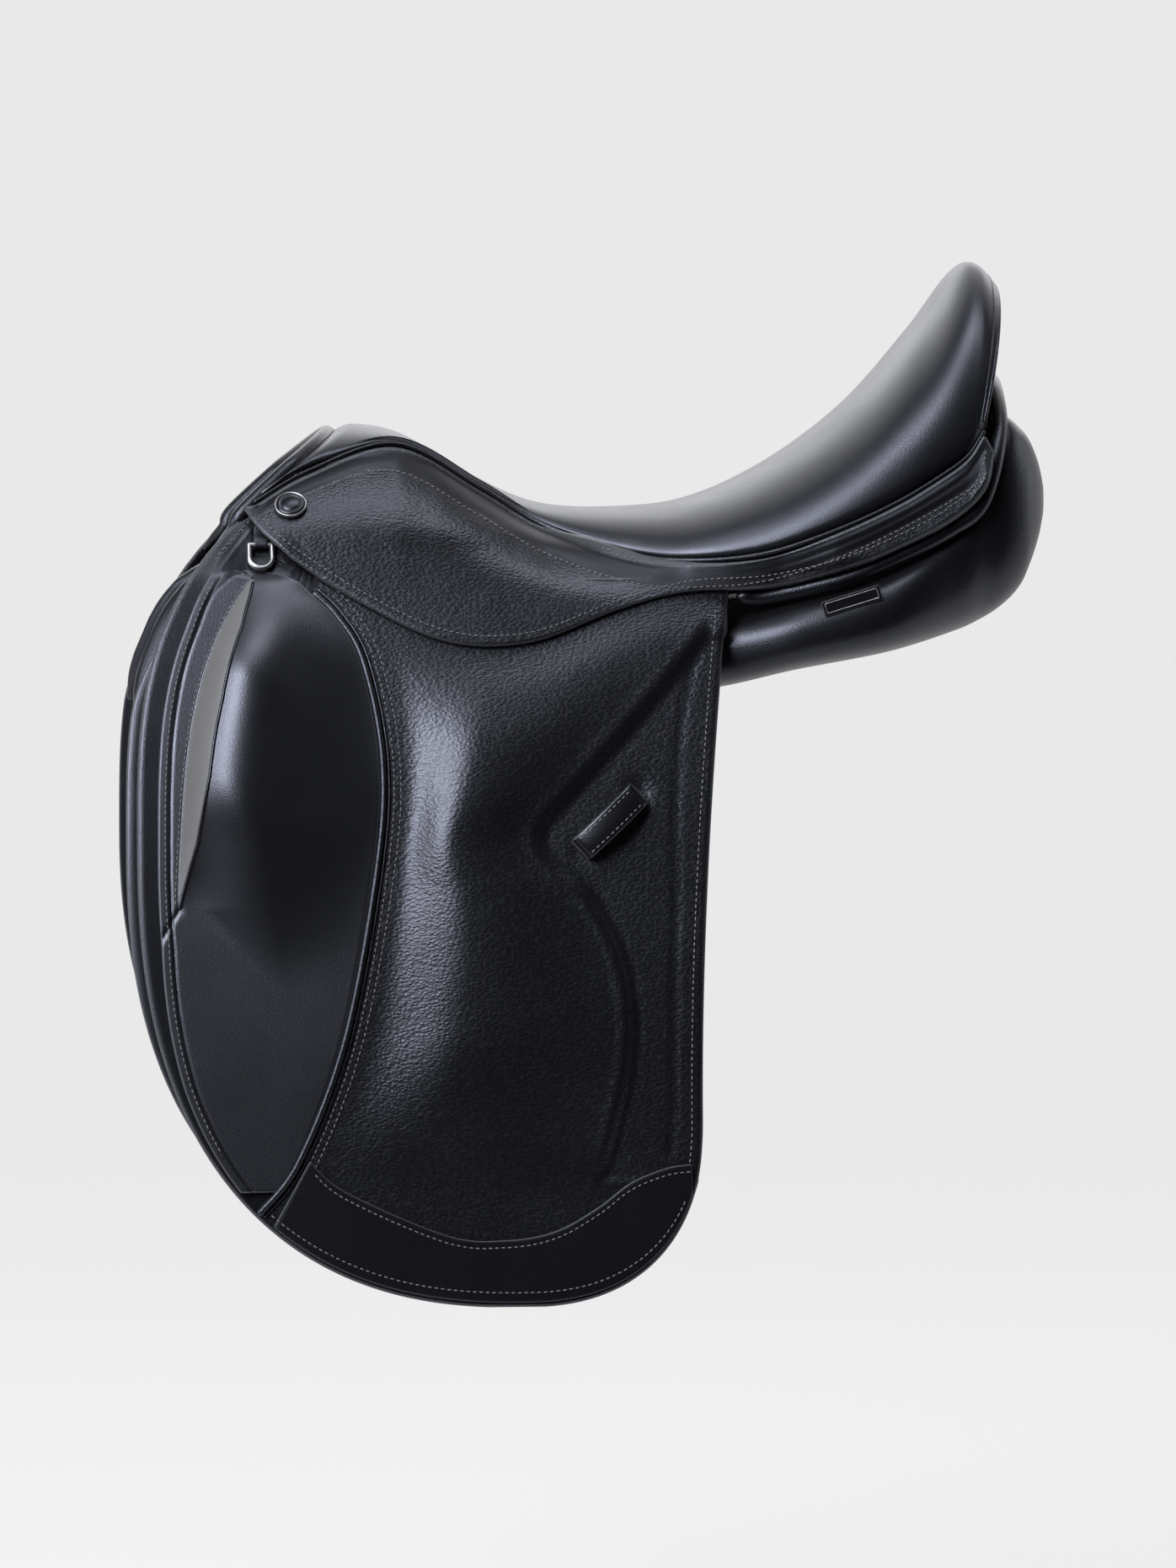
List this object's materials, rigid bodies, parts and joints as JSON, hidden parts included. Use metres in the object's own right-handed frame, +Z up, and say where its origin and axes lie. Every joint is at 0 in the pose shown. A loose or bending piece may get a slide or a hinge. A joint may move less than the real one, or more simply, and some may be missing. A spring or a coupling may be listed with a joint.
{
  "type": "dressage saddle",
  "caption": "Black leather dressage saddle with a deep seat, long straight flaps, external knee blocks and fold-up skirts over the stirrup bars.",
  "frame": {"origin": "on the centreline under the deepest part of the seat, at the level where the saddle rests on the horse's back", "axes": "+Z up, -X towards the horse's head, -Y the near (left) side"},
  "size_m": [0.5345, 0.41, 0.5943],
  "materials": {
    "grained_leather": "grained, semi-matt",
    "smooth_leather": "smooth calf leather over padding, satin",
    "steel": "polished",
    "nail": "polished rim with a dark centre",
    "tree_wood": "plain laminated wood",
    "webbing": "woven",
    "padding": "foam padding",
    "label": "blank, satin"
  },
  "bodies": {
    "saddle": {"tree": "tree_wood", "head_plate": "steel", "tree_rivets": "steel", "seat_webbing": "webbing", "seat": "smooth_leather", "cantle_welt": "grained_leather", "cantle_facing": "grained_leather", "pommel_roll": "grained_leather", "gullet_lining": "grained_leather", "left_tree_point": "tree_wood", "right_tree_point": "tree_wood", "left_stirrup_bar": "steel", "right_stirrup_bar": "steel", "left_seat_welt": "grained_leather", "right_seat_welt": "grained_leather", "left_skirt_top": "grained_leather", "right_skirt_top": "grained_leather", "left_nail": "nail", "right_nail": "nail", "left_flap_head": "grained_leather", "right_flap_head": "grained_leather", "left_under_flap": "grained_leather", "right_under_flap": "grained_leather", "left_panel": "smooth_leather", "right_panel": "smooth_leather", "panel_roll": "grained_leather", "rear_gusset": "grained_leather", "left_dee_tab": "grained_leather", "right_dee_tab": "grained_leather", "left_girth_web": "webbing", "right_girth_web": "webbing", "left_strap_rivets": "steel", "right_strap_rivets": "steel", "left_label": "label", "right_label": "label"},
    "left_flap_body": {"left_flap": "grained_leather", "left_knee_block": "padding", "left_block_cover": "smooth_leather", "left_flap_piping": "grained_leather", "left_wear_patch": "grained_leather", "left_keeper": "grained_leather"},
    "left_skirt_body": {"left_skirt": "grained_leather"},
    "left_dee_body": {"left_dee_ring": "steel"},
    "left_latch_body": {"left_bar_latch": "steel"},
    "left_front_strap_body": {"left_front_strap": "grained_leather"},
    "left_rear_strap_body": {"left_rear_strap": "grained_leather"},
    "right_flap_body": {"right_flap": "grained_leather", "right_knee_block": "padding", "right_block_cover": "smooth_leather", "right_flap_piping": "grained_leather", "right_wear_patch": "grained_leather", "right_keeper": "grained_leather"},
    "right_skirt_body": {"right_skirt": "grained_leather"},
    "right_dee_body": {"right_dee_ring": "steel"},
    "right_latch_body": {"right_bar_latch": "steel"},
    "right_front_strap_body": {"right_front_strap": "grained_leather"},
    "right_rear_strap_body": {"right_rear_strap": "grained_leather"}
  },
  "joints": [
    {"name": "left_flap_lift", "type": "hinge", "parent": "saddle", "child": "left_flap_body", "pos_m": [0, -0.1263, 0.058], "axis": [-1, 0, 0], "range_deg": [0, 75]},
    {"name": "left_skirt_lift", "type": "hinge", "parent": "left_flap_body", "child": "left_skirt_body", "pos_m": [0, -0.1263, 0.058], "axis": [-1, 0, 0], "range_deg": [0, 50]},
    {"name": "left_dee_swing", "type": "hinge", "parent": "saddle", "child": "left_dee_body", "pos_m": [-0.1985, -0.11285, 0.078], "axis": [-1, 0, 0], "range_deg": [0, 45]},
    {"name": "left_latch_turn", "type": "hinge", "parent": "saddle", "child": "left_latch_body", "pos_m": [-0.098, -0.11431, 0.069], "axis": [0, -1, 0], "range_deg": [0, 45]},
    {"name": "left_front_strap_swing", "type": "hinge", "parent": "saddle", "child": "left_front_strap_body", "pos_m": [-0.096, -0.12817, 0.032], "axis": [0, 1, 0], "range_deg": [-3, 6]},
    {"name": "left_rear_strap_swing", "type": "hinge", "parent": "saddle", "child": "left_rear_strap_body", "pos_m": [-0.012, -0.12817, 0.032], "axis": [0, 1, 0], "range_deg": [-6, 3]},
    {"name": "right_flap_lift", "type": "hinge", "parent": "saddle", "child": "right_flap_body", "pos_m": [0, 0.1263, 0.058], "axis": [1, 0, 0], "range_deg": [0, 75]},
    {"name": "right_skirt_lift", "type": "hinge", "parent": "right_flap_body", "child": "right_skirt_body", "pos_m": [0, 0.1263, 0.058], "axis": [1, 0, 0], "range_deg": [0, 50]},
    {"name": "right_dee_swing", "type": "hinge", "parent": "saddle", "child": "right_dee_body", "pos_m": [-0.1985, 0.11285, 0.078], "axis": [1, 0, 0], "range_deg": [0, 45]},
    {"name": "right_latch_turn", "type": "hinge", "parent": "saddle", "child": "right_latch_body", "pos_m": [-0.098, 0.11431, 0.069], "axis": [0, -1, 0], "range_deg": [0, 45]},
    {"name": "right_front_strap_swing", "type": "hinge", "parent": "saddle", "child": "right_front_strap_body", "pos_m": [-0.096, 0.12817, 0.032], "axis": [0, 1, 0], "range_deg": [-3, 6]},
    {"name": "right_rear_strap_swing", "type": "hinge", "parent": "saddle", "child": "right_rear_strap_body", "pos_m": [-0.012, 0.12817, 0.032], "axis": [0, 1, 0], "range_deg": [-6, 3]}
  ]
}
